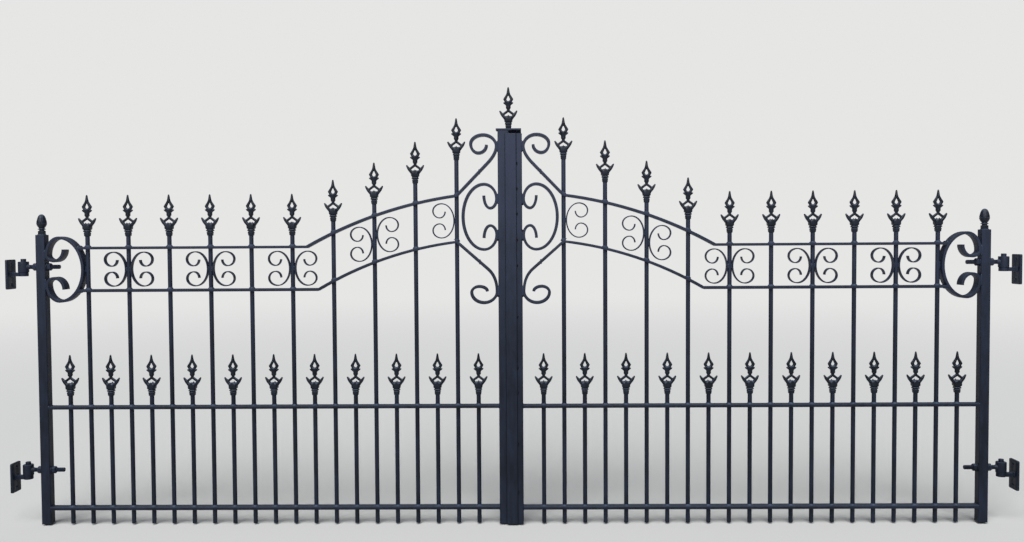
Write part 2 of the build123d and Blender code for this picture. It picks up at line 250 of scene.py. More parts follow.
# The stiles: square mild-steel tube with a 3 mm wall and rounded corners, 35 mm at the hinges and
# 40 mm in the middle, welded shut at the top and cut off square at the foot. All else in a leaf is
# welded between the two.
hinge_low, hinge_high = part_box("left_hinge_stile")
hinge_tube = hinge_high.x - hinge_low.x
meeting_tube = stile_high.x - stile_low.x
meeting_face = stile_low.x - middle_x  # inner faces of the two stiles
hinge_face = hinge_high.x - middle_x
hinge_outer_face = hinge_low.x - middle_x
hinge_stile_height = hinge_high.z - foot_z
tube_wall = 3 * mm
tube_corner = 3.5 * mm
ground_edge = 1.2 * mm
corner_steps = 5
sharp_angle = radians(32)
merge_distance = 1e-6


def as_mesh(shape, mesh):
    """Writes a shape into a mesh."""
    shape.to_mesh(mesh)
    shape.free()
    return mesh


def clean_mesh(shape, mesh):
    """The same, with doubles merged and its faces outwards."""
    bmesh.ops.remove_doubles(shape, verts=shape.verts, dist=merge_distance)
    bmesh.ops.recalc_face_normals(shape, faces=shape.faces)
    return as_mesh(shape, mesh)


def skin(rings, name, closed=True):
    """A mesh through rings of as many points each, with its two ends closed or left open."""
    shape = bmesh.new()
    rows = [[shape.verts.new(point) for point in ring] for ring in rings]
    for low, high in zip(rows, rows[1:]):
        for i in range(len(low)):
            j = (i + 1) % len(low)
            shape.faces.new((low[i], low[j], high[j], high[i]))
    if closed:
        for row in (rows[0], rows[-1]):
            shape.faces.new(row)
    return clean_mesh(shape, bpy.data.meshes.new(name))


def smooth(mesh):
    """Shades a mesh smooth, apart from its sharp edges."""
    mesh.shade_smooth()
    mesh.set_sharp_from_angle(angle=sharp_angle)
    return mesh


def finished(mesh, material):
    """The mesh, smooth and in one finish."""
    mesh.materials.clear()
    mesh.materials.append(material)
    return smooth(mesh)


def rounded_rectangle(half_x, half_y, corner, z=0.0):
    """Points round a rectangle with round corners, at one height.

    One more point on each side of a corner keeps the flats flat when they are shaded."""
    points = []
    beside = 0.2 * corner
    for quarter in range(4):
        centre_x = (half_x - corner) * (1 if quarter in (0, 3) else -1)
        centre_y = (half_y - corner) * (1 if quarter < 2 else -1)
        for step in (-1, *range(corner_steps + 1), corner_steps + 1):
            turn = min(max(step, 0), corner_steps) / corner_steps
            angle = (quarter + turn) * pi / 2
            x, y = centre_x + corner * cos(angle), centre_y + corner * sin(angle)
            if step != turn * corner_steps:
                along = (quarter + 1 + turn) * pi / 2
                back = beside if step < 0 else -beside
                x, y = x - back * cos(along), y - back * sin(along)
            points.append((x, y, z))
    return points


def edged_block(middle, half, edge):
    """A block with rounded edges, from its middle and its half sizes."""
    rounding = ((1, 0), (0.3, 0.3), (0, 1), (0, 1.2))  # (inset, rise), in parts of the edge
    levels = [(inset * edge, rise * edge - half[2]) for inset, rise in rounding]
    levels += [(inset * edge, half[2] - rise * edge) for inset, rise in reversed(rounding)]
    mesh = skin([rounded_rectangle(half[0] - inset, half[1] - inset, edge, z)
                 for inset, z in levels], "block")
    mesh.transform(Matrix.Translation(middle))
    return mesh


def square_tube(x_middle, tube, height):
    """A stile, hollow and open at the foot, with its top weld ground round."""
    half = tube / 2
    bore = half - tube_wall
    inner_corner = tube_corner - tube_wall
    rings = [rounded_rectangle(bore, bore, inner_corner, z) for z in (height - tube_wall, 0)]
    rings += [rounded_rectangle(half, half, tube_corner, z)
              for z in (0, height - 2 * ground_edge, height - ground_edge)]
    top = half - ground_edge
    rings.append(rounded_rectangle(top, top, tube_corner - ground_edge, height))
    mesh = skin(rings, "stile")
    mesh.transform(Matrix.Translation((x_middle, 0, 0)))
    return finished(mesh, steel_paint)


for side in sides:
    low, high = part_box(f"{side}_meeting_stile")
    tall = square_tube(meeting_face + meeting_tube / 2, meeting_tube, high.z - foot_z)
    hang(tall, "meeting_stile_tube", side, ["meeting_stile"])
hang_both(square_tube(hinge_face - hinge_tube / 2, hinge_tube, hinge_stile_height),
          "hinge_stile_tube", ["hinge_stile"])


# The rails: flat bar, 40 x 10 mm, laid flat and punched hot for the bars. The two lower ones are
# straight. The band rails rise in a shallow arc to the last long bar, and break there towards the
# meeting stile.
gaps_per_leaf = 22
bar_pitch = (meeting_face - hinge_face) / gaps_per_leaf
bar_radius = 8 * mm
rail_depth = 40 * mm
rail_thickness = 10 * mm
rail_edge = 1.3 * mm
rail_edge_steps = 2
bottom_rail_height = 58 * mm
middle_rail_height = 436 * mm
upper_band_height = 1030 * mm
lower_band_height = 872 * mm
band_middle = (upper_band_height + lower_band_height) / 2
kink_bar = 2
upper_kink_height, lower_kink_height = 1215 * mm, 1045 * mm
upper_joint_height, lower_joint_height = 1302 * mm, 971 * mm
joint_reach = 68.3 * mm
upper_rise_length, lower_rise_length = 706.5 * mm, 665.5 * mm
arc_bulge = 28 * mm
arc_steps = 16
outer_top_x = 92 * mm  # crest of the outer scroll, from the bar that its back stands on
outer_half_height = 117.5 * mm
half_strip = rail_thickness / 2
tucked = 0.3 * mm  # so that a rail's edges lie behind those of the scroll that it runs into


def bar_x(number):
    """Middle of a bar, counted from the meeting stile."""
    return meeting_face - number * bar_pitch


outer_back_x = bar_x(20) - bar_radius


def new_tree(name, inputs, output):
    """A tree of geometry nodes with its named inputs, and the function that adds nodes to it."""
    tree = bpy.data.node_groups.new(name, "GeometryNodeTree")
    for label, kind in inputs.items():
        tree.interface.new_socket(label, in_out="INPUT", socket_type="NodeSocket" + kind)
    tree.interface.new_socket(output, in_out="OUTPUT", socket_type="NodeSocketGeometry")
    add = node_adder(tree)
    return tree, add, add("NodeGroupInput").outputs


def end_tree(add, shape, finish):
    """Ends a tree with plain geometry in one finish."""
    real = add("GeometryNodeRealizeInstances", {0: shape})
    painted = add("GeometryNodeSetMaterial", {"Geometry": real.outputs[0], "Material": finish})
    add("NodeGroupOutput", {0: painted.outputs[0]})


def swept_tree():
    """Nodes that draw a bar of rectangular section along runs of edges, its depth along Y."""
    tree, add, given = new_tree("bar_along_its_line", {
        "Line": "Geometry", "Depth": "Float", "Thickness": "Float", "Edge radius": "Float",
        "Edge steps": "Int", "Finish": "Material"}, "Bar")
    line = add("GeometryNodeMeshToCurve", {"Mesh": given["Line"]})
    level = add("GeometryNodeSetCurveNormal",
                {"Curve": line.outputs[0], "Normal": (0, 1, 0)}, mode="FREE")
    girth = add("GeometryNodeInputNamedAttribute", {"Name": "girth"}, data_type="FLOAT")
    sized = add("GeometryNodeSetCurveRadius",
                {"Curve": level.outputs[0], "Radius": girth.outputs[0]})
    section = add("GeometryNodeCurvePrimitiveQuadrilateral",
                  {"Width": given["Depth"], "Height": given["Thickness"]})
    rounded = add("GeometryNodeFilletCurve",
                  {"Curve": section.outputs[0], "Count": given["Edge steps"],
                   "Radius": given["Edge radius"], "Limit Radius": True}, mode="POLY")
    bar = add("GeometryNodeCurveToMesh", {
        "Curve": sized.outputs[0], "Profile Curve": rounded.outputs[0], "Fill Caps": True})
    end_tree(add, bar.outputs[0], given["Finish"])
    return tree


def frozen(piece):
    """The plain mesh that an object's modifiers make."""
    depsgraph = bpy.context.evaluated_depsgraph_get()
    mesh = bpy.data.meshes.new_from_object(piece.evaluated_get(depsgraph), depsgraph=depsgraph)
    bpy.data.objects.remove(piece)
    return mesh


def grown(mesh, tree, **inputs):
    """The mesh that a tree of nodes makes of a drawn one."""
    drawing = new_object("drawing", mesh)
    modifier = drawing.modifiers.new("nodes", "NODES")
    modifier.node_group = tree
    for socket in tree.interface.items_tree:
        if socket.in_out == "INPUT" and socket.name in inputs:
            modifier[socket.identifier] = inputs[socket.name]
    result = frozen(drawing)
    shape = bmesh.new()
    shape.from_mesh(result)
    return smooth(clean_mesh(shape, result))


def drawn(lines):
    """A mesh of lines, each a list of points with the bar's girth there: 1 is full section."""
    mesh = bpy.data.meshes.new("drawn")
    points, edges, girths = [], [], []
    for line in lines:
        for i, (point, girth) in enumerate(line):
            if i:
                edges.append((len(points) - 1, len(points)))
            points.append(point)
            girths.append(girth)
    mesh.from_pydata(points, edges, [])
    mesh.attributes.new("girth", "FLOAT", "POINT").data.foreach_set("value", girths)
    return mesh


bar_along_its_line = swept_tree()


def flat_bars(lines, depth=rail_depth, thickness=rail_thickness, edge=rail_edge):
    """Flat bar along lines of (x, z) points."""
    full = [[((x, 0, z), 1) for x, z in line] for line in lines]
    return grown(drawn(full), bar_along_its_line, **{
        "Depth": depth, "Thickness": thickness, "Edge radius": edge,
        "Edge steps": rail_edge_steps, "Finish": steel_paint})


def arc_line(start, end):
    """Points from start to end on an arc that bulges over its chord."""
    dx, dz = end[0] - start[0], end[1] - start[1]
    chord = sqrt(dx * dx + dz * dz)
    radius = (chord * chord / 4 + arc_bulge * arc_bulge) / (2 * arc_bulge)
    half_angle = atan2(chord / 2, radius - arc_bulge)
    line = []
    for step in range(arc_steps + 1):
        turn = half_angle * (2 * step / arc_steps - 1)
        along = (chord / 2 + radius * sin(turn)) / chord
        above = (radius * cos(turn) - (radius - arc_bulge)) / chord
        line.append((start[0] + along * dx - above * dz, start[1] + along * dz + above * dx))
    return line


def outer_scroll_x(height):
    """Where a band rail meets the outer scroll."""
    rise = (height - band_middle) / outer_half_height
    return outer_back_x - outer_top_x + (outer_top_x - half_strip) * sqrt(1 - rise * rise)


def band_line(height, rise_length, kink_height, joint_height):
    """From the outer scroll, over the arc and the kink, to where the volute takes over."""
    kink = (bar_x(kink_bar), kink_height)
    return ([(outer_scroll_x(height), height)]
            + arc_line((meeting_face - rise_length, height), kink)
            + [(meeting_face - joint_reach, joint_height)])


def height_on(line, x):
    """Height of a line of points at x."""
    for (x0, z0), (x1, z1) in zip(line, line[1:]):
        if x0 <= x <= x1:
            return z0 + (z1 - z0) * (x - x0) / (x1 - x0)
    raise ValueError("x lies beside the line")


upper_line = band_line(upper_band_height, upper_rise_length, upper_kink_height,
                       upper_joint_height)
lower_line = band_line(lower_band_height, lower_rise_length, lower_kink_height,
                       lower_joint_height)
rails = {
    "bottom_rail": [(hinge_face, bottom_rail_height), (meeting_face, bottom_rail_height)],
    "middle_rail": [(hinge_face, middle_rail_height), (meeting_face, middle_rail_height)],
    "lower_band_rail": lower_line,
    "upper_band_rail": upper_line,
}
for name, line in rails.items():
    hang_both(flat_bars([line], depth=rail_depth - tucked), name + "_bar", [name])


# The bars: 16 mm hot-rolled round, passed down through the rails and cut off level with the stiles'
# feet. Every second one is long and reaches the heads above the band; the short ones end over the
# middle rail.
long_bars = range(2, gaps_per_leaf, 2)
short_bars = range(1, gaps_per_leaf, 2)
bar_end = 44 * mm  # of each bar above its last rail
rising_bar_ends = {2: 88 * mm, 4: 31 * mm}  # more than that
foot_chamfer = 1.2 * mm
bar_edge_steps = 6
long_tops = {n: height_on(upper_line, bar_x(n)) + bar_end + rising_bar_ends.get(n, 0.0)
             for n in long_bars}
short_tops = {n: middle_rail_height + bar_end for n in short_bars}


def round_bars(tops):
    """Bars from the feet to their tops, by their numbers."""
    girth_at_cut = 1 - foot_chamfer / bar_radius
    lines = [[((bar_x(n), 0, z), girth)
              for z, girth in ((0, girth_at_cut), (foot_chamfer, 1), (top, 1))]
             for n, top in tops.items()]
    return grown(drawn(lines), bar_along_its_line, **{
        "Depth": 2 * bar_radius, "Thickness": 2 * bar_radius, "Edge radius": bar_radius,
        "Edge steps": bar_edge_steps, "Finish": steel_paint})


hang_both(round_bars(long_tops), "long_round_bars", ["long_bars"])
hang_both(round_bars(short_tops), "short_round_bars", ["short_bars"])


# Spearheads: one sand casting for all, with a ringed socket and cup, two leaves on ribs that leave
# the crown open, a neck, and a flat lantern under the point. Each is welded on its bar's end. The
# mould's grain under thick paint gives the eye a broken, glossy shine.
# Its pale colour on faces that look up is painted highlight more than dust, and it pales a little
# towards the top as painted light.
cast_paint = satin_paint("satin_black_paint_on_cast_iron", ("#0a1019", "#151e2b"), "#6a778e",
                         grain=2.2 * mm, relief=0.5 * mm, roughness=(0.36, 0.52), top_light=0.03)
# (half width, height) of the square stretch with round corners, from the bar's end up, in mm
socket_stations = (
    (9.2, 0), (10, 1), (10.6, 8), (11.4, 12), (9.2, 13.4), (9.2, 15), (12.8, 16.4), (13.3, 19.4),
    (10.8, 21), (11, 23), (14.4, 25.6), (15, 30), (15, 37), (14.2, 42), (12, 45.5), (8, 47))
socket_corner = 0.5  # of the half width
# (radius, height) of the round stretches
neck_outline = (
    (0, 60), (4.6, 61.5), (5.4, 65), (5.4, 70), (6.6, 72.5), (8.6, 75), (9.2, 78), (8.6, 81),
    (9.2, 85), (10.4, 90), (11.4, 94), (11.4, 98), (9, 101), (0, 102))
point_outline = (
    (0, 120), (5, 124), (6.6, 130), (5.4, 135), (4.6, 140), (3.7, 146), (3, 150), (1.8, 152.3),
    (0, 152.8))
# (distance out, height, thickness from the front, thickness from the side) along each
leaf_blade = (
    (11.5, 37, 11, 13), (16.2, 44, 11.5, 12.5), (21, 50, 11.5, 12), (25, 55.5, 10, 10.5),
    (28.6, 61, 7.6, 8.5), (31.8, 66.4, 4.6, 5))
rib_blade = (
    (20.5, 51.5, 9, 10), (15.5, 55.3, 9, 10), (10, 59.2, 9, 9.6), (5, 63, 9, 9.4),
    (1, 66.4, 8.4, 9))
lobe_blade = ((12, 38, 6, 10), (12.6, 43, 5, 9), (12.6, 46.5, 3.6, 6), (12.4, 50, 1.2, 1.6))
ear_blade = ((8, 90, 8, 10), (12, 93, 7.6, 9.5), (15.6, 94.8, 6, 8), (18, 95.6, 3.6, 5))
lantern_blade = (
    (7.5, 99.5, 11, 10), (10.5, 103.5, 10.5, 10), (12.6, 108, 12.4, 10), (10, 113, 10.4, 9.5),
    (6.9, 118.5, 9.4, 9), (4.4, 124, 8.4, 8.5), (2.4, 130, 7, 7.5), (1, 137, 5, 6))
blade_sides = 16
blade_flatness = 0.6  # 1 is an oval section and 0 a square one
head_voxel = 0.8 * mm
head_softening, softening_passes = 0.5, 3
head_faces = 5600
head_twist = radians(3)  # either way, as set on the bars
least_radius = 1e-5


def lathe(outline, turns=24):
    """Rings of an outline of (radius, height), turned about Z. A radius of 0 closes it."""
    return [[(max(r, least_radius) * cos(tau * i / turns),
              max(r, least_radius) * sin(tau * i / turns), z) for i in range(turns)]
            for r, z in outline]


def in_mm(outline):
    return [(r * mm, z * mm) for r, z in outline]


def joined(meshes, name):
    """One mesh of several."""
    shape = bmesh.new()
    for mesh in meshes:
        shape.from_mesh(mesh)
    return as_mesh(shape, bpy.data.meshes.new(name))


def blade(stations, turn):
    """A leaf or rib of the casting, which stands out from its middle."""
    centres = [Vector((out, z)) * mm for out, z, thickness, breadth in stations]
    rings = []
    for i, (out, z, thickness, breadth) in enumerate(stations):
        along = (centres[min(i + 1, len(centres) - 1)] - centres[max(i - 1, 0)]).normalized()
        ring = []
        for k in range(blade_sides):
            lift, aside = [copysign(abs(part) ** blade_flatness, part)
                           for part in (cos(tau * k / blade_sides), sin(tau * k / blade_sides))]
            lift, aside = lift * thickness / 2 * mm, aside * breadth / 2 * mm
            ring.append((centres[i].x - along.y * lift, aside, centres[i].y + along.x * lift))
        rings.append(ring)
    mesh = skin(rings, "blade")
    mesh.transform(Matrix.Rotation(turn, 4, "Z"))
    return mesh


def cast_head():
    """The head as one skin, its pieces flowed together as in the mould."""
    shells = [skin(lathe(in_mm(outline)), "turned") for outline in (neck_outline, point_outline)]
    shells.append(skin([rounded_rectangle(half * mm, half * mm, socket_corner * half * mm, z * mm)
                        for half, z in socket_stations], "socket"))
    for turn in (0, pi):
        shells += [blade(stations, turn)
                   for stations in (leaf_blade, rib_blade, ear_blade, lantern_blade)]
        shells.append(blade(lobe_blade, turn + pi / 2))
    pattern = new_object("pattern", joined(shells, "pattern"))
    poured = pattern.modifiers.new("poured", "REMESH")
    poured.mode = "VOXEL"
    poured.voxel_size = head_voxel
    softened = pattern.modifiers.new("softened", "SMOOTH")
    softened.factor = head_softening
    softened.iterations = softening_passes
    lightened = pattern.modifiers.new("lightened", "DECIMATE")
    depsgraph = bpy.context.evaluated_depsgraph_get()
    dense = len(pattern.evaluated_get(depsgraph).data.polygons)
    lightened.ratio = min(1.0, head_faces / (2 * dense))
    return finished(frozen(pattern), cast_paint)


def repeat_tree():
    """Nodes that set a shape on each point, turned and sized as it says, and a little unevenly."""
    tree, add, given = new_tree("shape_on_each_point", {
        "Points": "Geometry", "Shape": "Object", "Uneven turn": "Float", "Seed": "Int",
        "Finish": "Material"}, "Shapes")
    shape = add("GeometryNodeObjectInfo", {"Object": given["Shape"]})
    turn, size = [add("GeometryNodeInputNamedAttribute", {"Name": name}, data_type="FLOAT_VECTOR")
                  for name in ("turn", "size")]
    set_down = add("GeometryNodeInstanceOnPoints",
                   {"Points": given["Points"], "Instance": shape.outputs["Geometry"],
                    "Rotation": turn.outputs[0], "Scale": size.outputs[0]})
    least = add("ShaderNodeMath", {0: given["Uneven turn"], 1: -1.0}, operation="MULTIPLY")
    chance = add("FunctionNodeRandomValue", {
        2: least.outputs[0], 3: given["Uneven turn"], "Seed": given["Seed"]}, data_type="FLOAT")
    about_z = add("ShaderNodeCombineXYZ", {"Z": chance.outputs[1]})
    uneven = add("GeometryNodeRotateInstances",
                 {"Instances": set_down.outputs[0], "Rotation": about_z.outputs[0]})
    end_tree(add, uneven.outputs[0], given["Finish"])
    return tree


shape_on_each_point = repeat_tree()


def repeated(shape, places, material, uneven=0.0, seed=1):
    """A shape at each of several places, each a point with its turn and its size along X, Y, Z."""
    points = bpy.data.meshes.new("points")
    points.from_pydata([place for place, turn, size in places], [], [])
    for name, index in (("turn", 1), ("size", 2)):
        values = [value for place in places for value in place[index]]
        points.attributes.new(name, "FLOAT_VECTOR", "POINT").data.foreach_set("vector", values)
    master = new_object("master", shape)
    mesh = grown(points, shape_on_each_point,
                 **{"Shape": master, "Uneven turn": uneven, "Seed": seed, "Finish": material})
    bpy.data.objects.remove(master)
    return mesh


upright = (0, 0, 0)
full_size = (1, 1, 1)
head = cast_head()
for name, tops, seed in (("long_bar_spearheads", long_tops, 3),
                         ("short_bar_spearheads", short_tops, 4)):
    places = [((bar_x(n), 0, top), upright, full_size) for n, top in tops.items()]
    hang_both(repeated(head, places, cast_paint, uneven=head_twist, seed=seed), name + "_cast",
              [name], slot="painted_castings")
plate_low, plate_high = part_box("left_cap_plate")
plate_middle = (plate_low.x + plate_high.x) / 2 - middle_x
middle_head = repeated(head, [((plate_middle, 0, plate_high.z - foot_z), upright, full_size)],
                       cast_paint)
hang(middle_head, "middle_spearhead_cast", "left", ["middle_spearhead"], slot="painted_castings")


# The scrolls: flat bar bent hot round a former, its ends cut off square. The small C-scrolls are
# 20 x 4 mm and are welded back to back on every second long bar. The large ones and the volutes are
# rail stock, welded to the rails and the stiles.
c_clearance = 9 * mm
c_width = 82 * mm
c_strip = 4 * mm
c_depth = 20 * mm
c_edge = 0.8 * mm
c_crest_x, c_side_height = 48 * mm, 36 * mm
c_turn, c_end = (55 * mm, 11 * mm), (35 * mm, 34 * mm)
c_height = upper_band_height - lower_band_height - rail_thickness - 2 * c_clearance
pair_bars = (6, 10, 14, 18)
fine_steps = (14, 12, 10, 8)
seat = 0.3 * mm
seated = half_strip + seat
outer_turn_x, outer_turn_height = 111 * mm, 32 * mm
outer_end_x, outer_end_height = 76 * mm, 74 * mm
outer_side_height = 54 * mm
inner_half_height, inner_reach = 120 * mm, 134 * mm
inner_top_x = 51.5 * mm
inner_turn_x, inner_turn_height = 29 * mm, 32 * mm
inner_end_x, inner_end_height = 52 * mm, 78 * mm
inner_side_height = 66 * mm
volute_straight = 30 * mm
volute_steps = 14
volute_curl = (seated, 53 * mm, 99 * mm, 71 * mm, 41 * mm)  # from the stile
upper_volute_rises = [rise * mm for rise in (93, 135, 102, 69, 98)]
lower_volute_rises = [rise * mm for rise in (-109, -151, -113, -91, -109)]


def quarter_turns(points):
    """A line through the points in quarter ellipses, upright and level at every other point."""
    line = [points[0]]
    for number, ((x0, z0), (x1, z1), count) in enumerate(zip(points, points[1:], fine_steps)):
        for step in range(1, count + 1):
            turn = step / count * pi / 2
            if number % 2:
                line.append((x0 + (x1 - x0) * sin(turn), z1 + (z0 - z1) * cos(turn)))
            else:
                line.append((x1 + (x0 - x1) * cos(turn), z0 + (z1 - z0) * sin(turn)))
    return line


def c_scroll(half_line, x=0.0, z=0.0, across=1):
    """The whole C from the half above its middle, moved to its place."""
    line = [(px, -pz) for px, pz in reversed(half_line[1:])] + half_line
    return [(x + across * px, z + pz) for px, pz in line]


def volute(line, rises):
    """From the end of a band rail to the stile, along it, and into a curl."""
    (kink_x, kink_z), (joint_x, joint_z) = line[-2:]
    heights = [joint_z + rise for rise in rises]
    slope = (joint_z - kink_z) / (joint_x - kink_x)
    stile_x = meeting_face - seated
    start_x = joint_x + volute_straight
    start_z = joint_z + slope * volute_straight
    corner_z = start_z + slope * (stile_x - start_x)
    points = [(joint_x, joint_z), (start_x, start_z)]
    for step in range(1, volute_steps):
        t = step / volute_steps
        points.append((start_x + (stile_x - start_x) * (1 - (1 - t) ** 2),
                       start_z * (1 - t) ** 2 + 2 * t * (1 - t) * corner_z + heights[0] * t ** 2))
    return points + quarter_turns([(meeting_face - out, height)
                                   for out, height in zip(volute_curl, heights)])


small_half = quarter_turns([
    (c_strip / 2 + seat, 0.0), (c_crest_x, (c_height - c_strip) / 2),
    (c_width - c_strip / 2, c_side_height), c_turn, c_end])
small_lines, small_backs = [], []
for number in (kink_bar, *pair_bars):
    for across in (-1, 1):
        if number == kink_bar and across > 0:
            continue
        back_x = bar_x(number) + across * bar_radius
        scroll_x = back_x + across * c_width / 2
        middle = (height_on(lower_line, scroll_x) + height_on(upper_line, scroll_x)) / 2
        small_lines.append(c_scroll(small_half, back_x, middle, across))
        small_backs.append((back_x, middle))
outer_half = quarter_turns([
    (outer_back_x - seated, 0.0), (outer_back_x - outer_top_x, outer_half_height),
    (hinge_face + seated, outer_side_height), (outer_back_x - outer_turn_x, outer_turn_height),
    (outer_back_x - outer_end_x, outer_end_height)])
inner_half = quarter_turns([
    (meeting_face - inner_reach + half_strip, 0.0),
    (meeting_face - inner_top_x, inner_half_height), (meeting_face - seated, inner_side_height),
    (meeting_face - inner_turn_x, inner_turn_height),
    (meeting_face - inner_end_x, inner_end_height)])
inner_middle = (upper_line[-1][1] + lower_line[-1][1]) / 2
hang_both(flat_bars(small_lines, c_depth, c_strip, c_edge), "small_scroll_strips",
          ["small_scrolls"])
for name, line in (("outer_scroll", c_scroll(outer_half, 0, band_middle)),
                   ("inner_scroll", c_scroll(inner_half, 0, inner_middle)),
                   ("upper_volute", volute(upper_line, upper_volute_rises)),
                   ("lower_volute", volute(lower_line, lower_volute_rises))):
    hang_both(flat_bars([line]), name + "_bar", [name])


# Acorn finials on the hinge stiles: small sand castings, each an acorn in its cup, on a collar and
# a square block that is welded on the closed top of the tube. Painted as the heads are.
block_half = 10.25 * mm
block_height = 15 * mm
block_edge = 1.5 * mm
acorn_turns = 48
acorn_ribs, rib_depth = 12, 0.9 * mm
acorn_rim, acorn_tip = 30 * mm, 61 * mm  # of the nut, above the block
finial_x = hinge_face - hinge_tube / 2
# (radius, height) from the block up, in mm
acorn_outline = (
    (0, -1), (9.2, -1), (9.2, 3), (9.8, 4), (13.4, 4.8), (14.5, 6), (13.4, 7.2), (10.2, 8),
    (9.8, 9.6), (10.6, 11.4), (13.2, 14.6), (15.6, 18.6), (17.2, 22.8), (18.1, 26.4),
    (18.2, 27.6), (17, 28.4), (17, 29.2), (17.9, 30.2), (17.6, 33), (16.7, 37.6), (15.5, 42.6),
    (14.1, 47.4), (12.4, 51.8), (10.4, 55.4), (8, 58.2), (5.2, 60), (2.4, 60.8), (0, 61))
block = edged_block((finial_x, 0, hinge_stile_height + block_height / 2),
                    (block_half, block_half, block_height / 2), block_edge)
acorn = skin(lathe(in_mm(acorn_outline), acorn_turns), "acorn")
for vertex in acorn.vertices:
    above = max(vertex.co.z - acorn_rim, 0) / (acorn_tip - acorn_rim)
    crest = (1 + cos(acorn_ribs * atan2(vertex.co.y, vertex.co.x))) / 2
    groove = rib_depth * sin(pi * above) * crest
    vertex.co.xy *= 1 - groove / max(vertex.co.xy.length, rib_depth)
acorn.transform(Matrix.Translation((finial_x, 0, hinge_stile_height + block_height)))
hang_both(finished(joined([block, acorn], "finial"), cast_paint), "acorn_finial_cast",
          ["acorn_finial"], slot="painted_castings")


# Cap plate, stop and cover strip: flat bar with filed edges. The plate is welded on the left
# meeting stile with a lip under its back edge. The strip is welded on the right one's front, over
# the gap.
def block_like(node, side, edge):
    """A block in the place of a plain CAD piece, as drawn on the left leaf."""
    low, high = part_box(node)
    middle = (low + high) / 2 - Vector((middle_x, leaf_plane[side], foot_z))
    if side == "right":
        middle.x = -middle.x
    return edged_block(middle, (high - low) / 2, edge)


for side, node, edge in (("left", "cap_plate", 1.2 * mm), ("left", "cap_stop", 1 * mm),
                         ("right", "cover_strip", 2 * mm)):
    flat = finished(block_like(f"{side}_{node}", side, edge), steel_paint)
    hang(flat, node + "_flat", side, [node])

# Painted shade: a thin, nearly black line on the stiles close beside the strip stands in for the
# shade in the crevice at its edges.
near_black_finish = satin_paint("near_black_for_shade_and_tacks", ("#04060b", "#090c14"), "#12161f",
                         grain=1.5 * mm, relief=0.3 * mm, roughness=(0.6, 0.8))
strip_low, strip_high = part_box("right_cover_strip")
line_width, line_depth, line_edge = 2.4 * mm, 0.6 * mm, 0.1 * mm
line_overlap = 0.8 * mm  # how far it lies under the strip
for side, edge_x in (("left", strip_low.x - middle_x), ("right", middle_x - strip_high.x)):
    line_x = edge_x - line_width / 2 + line_overlap
    shade_line = flat_bars([[(line_x, height - foot_z) for height in (strip_low.z, strip_high.z)]],
                     line_depth, line_width, line_edge)
    shade_line.transform(Matrix.Translation((0, -meeting_tube / 2, 0)))
    hang(finished(shade_line, near_black_finish), "bare_line_beside_strip", side)


# The hinges: forged eye bolts, 16 mm, held to the hinge stile between two nuts so that the leaf can
# be adjusted, on the pins of four hooks. Each hook is a round boss and arm, welded to a plate with
# two bolt holes.
eye_heights = (202 * mm, 961 * mm)
eye_axis = hinge_outer_face - 54 * mm
wide_turns, slim_turns = 40, 32  # points round eye and boss, and round pin and washers
bolt_radius = 8 * mm
bolt_length = 137 * mm  # from the eye's axis
bolt_tip, bolt_tip_radius = 1 * mm, 6.6 * mm
thread_from = 26 * mm
thread_pitch, thread_depth = 2 * mm, 0.9 * mm
core_radius = bolt_radius - 0.5 * mm  # inside the nuts
washer = ((0, 0), (14.6, 0), (15, 0.4), (15, 2.6), (14.6, 3), (0, 3))
washer_thickness = 3 * mm
nut_flats, nut_height = 24 * mm, 13 * mm
nut_points = 36
nut_face = 0.95 * nut_flats / 2
nut_corner_slope = 0.58
# (radius, distance) along the bolt and from the eye's middle up, in mm
shank_outline = ((0, 12), (11, 15), (10.4, 19), (8.8, 21), (8, 24))
eye_outline = (
    (9.8, -19.2), (10.6, -20), (17.2, -20), (18.6, -19.3), (19, -17.6), (19, 17.6), (18.6, 19.3),
    (17.2, 20), (10.6, 20), (9.8, 19.2), (9.8, -19.2))
boss_outline = ((0, -34.3), (16, -34.3), (17, -33.3), (17, -21.3), (16, -20.3), (0, -20.3))
pin_outline = ((0, -21), (9.5, -21), (9.5, 28.3), (9.1, 29.6), (8.2, 30.3), (0, 30.3))
arm_middle = -27.3 * mm  # below the eye's middle, where the plate's middle is too
arm_half_depth, arm_half_height, arm_edge = 10 * mm, 7 * mm, 1 * mm
# (half height, half width, distance from the plate) of the weld round the arm, in mm
fillet = ((10.8, 13.8, -0.5), (10.6, 13.6, 0.8), (9.6, 12.6, 2.4), (8, 11, 4.2), (6.6, 9.6, 5.2))
fillet_corner = 3 * mm
plate_thickness, plate_width, plate_height = 8 * mm, 60 * mm, 110 * mm
plate_corner, plate_edge = 5 * mm, 0.8 * mm
plate_back = -53 * mm  # from the eye's axis
plate_holes = (-38 * mm, 38 * mm)
hole_radius, hole_points = 5.5 * mm, 28
lump_height, lump_pitch = 0.5 * mm, 5 * mm


def along_x(mesh, x, z):
    """Lays a shape that stands on its foot along X, with the foot at x."""
    mesh.transform(Matrix.Translation((x, 0, z)) @ Matrix.Rotation(pi / 2, 4, "Y"))
    return mesh


def hex_nut():
    """A nut that stands on its face, with its corners turned off."""
    rings = [[], [], [], []]
    for i in range(nut_points):
        turn = tau * i / nut_points
        corner = nut_flats / 2 / cos(turn % (pi / 3) - pi / 6)
        fall = (corner - nut_face) * nut_corner_slope
        for ring, reach, z in zip(rings, (nut_face, corner, corner, nut_face),
                                  (0, fall, nut_height - fall, nut_height)):
            ring.append((reach * cos(turn), reach * sin(turn), z))
    return skin(rings, "nut")


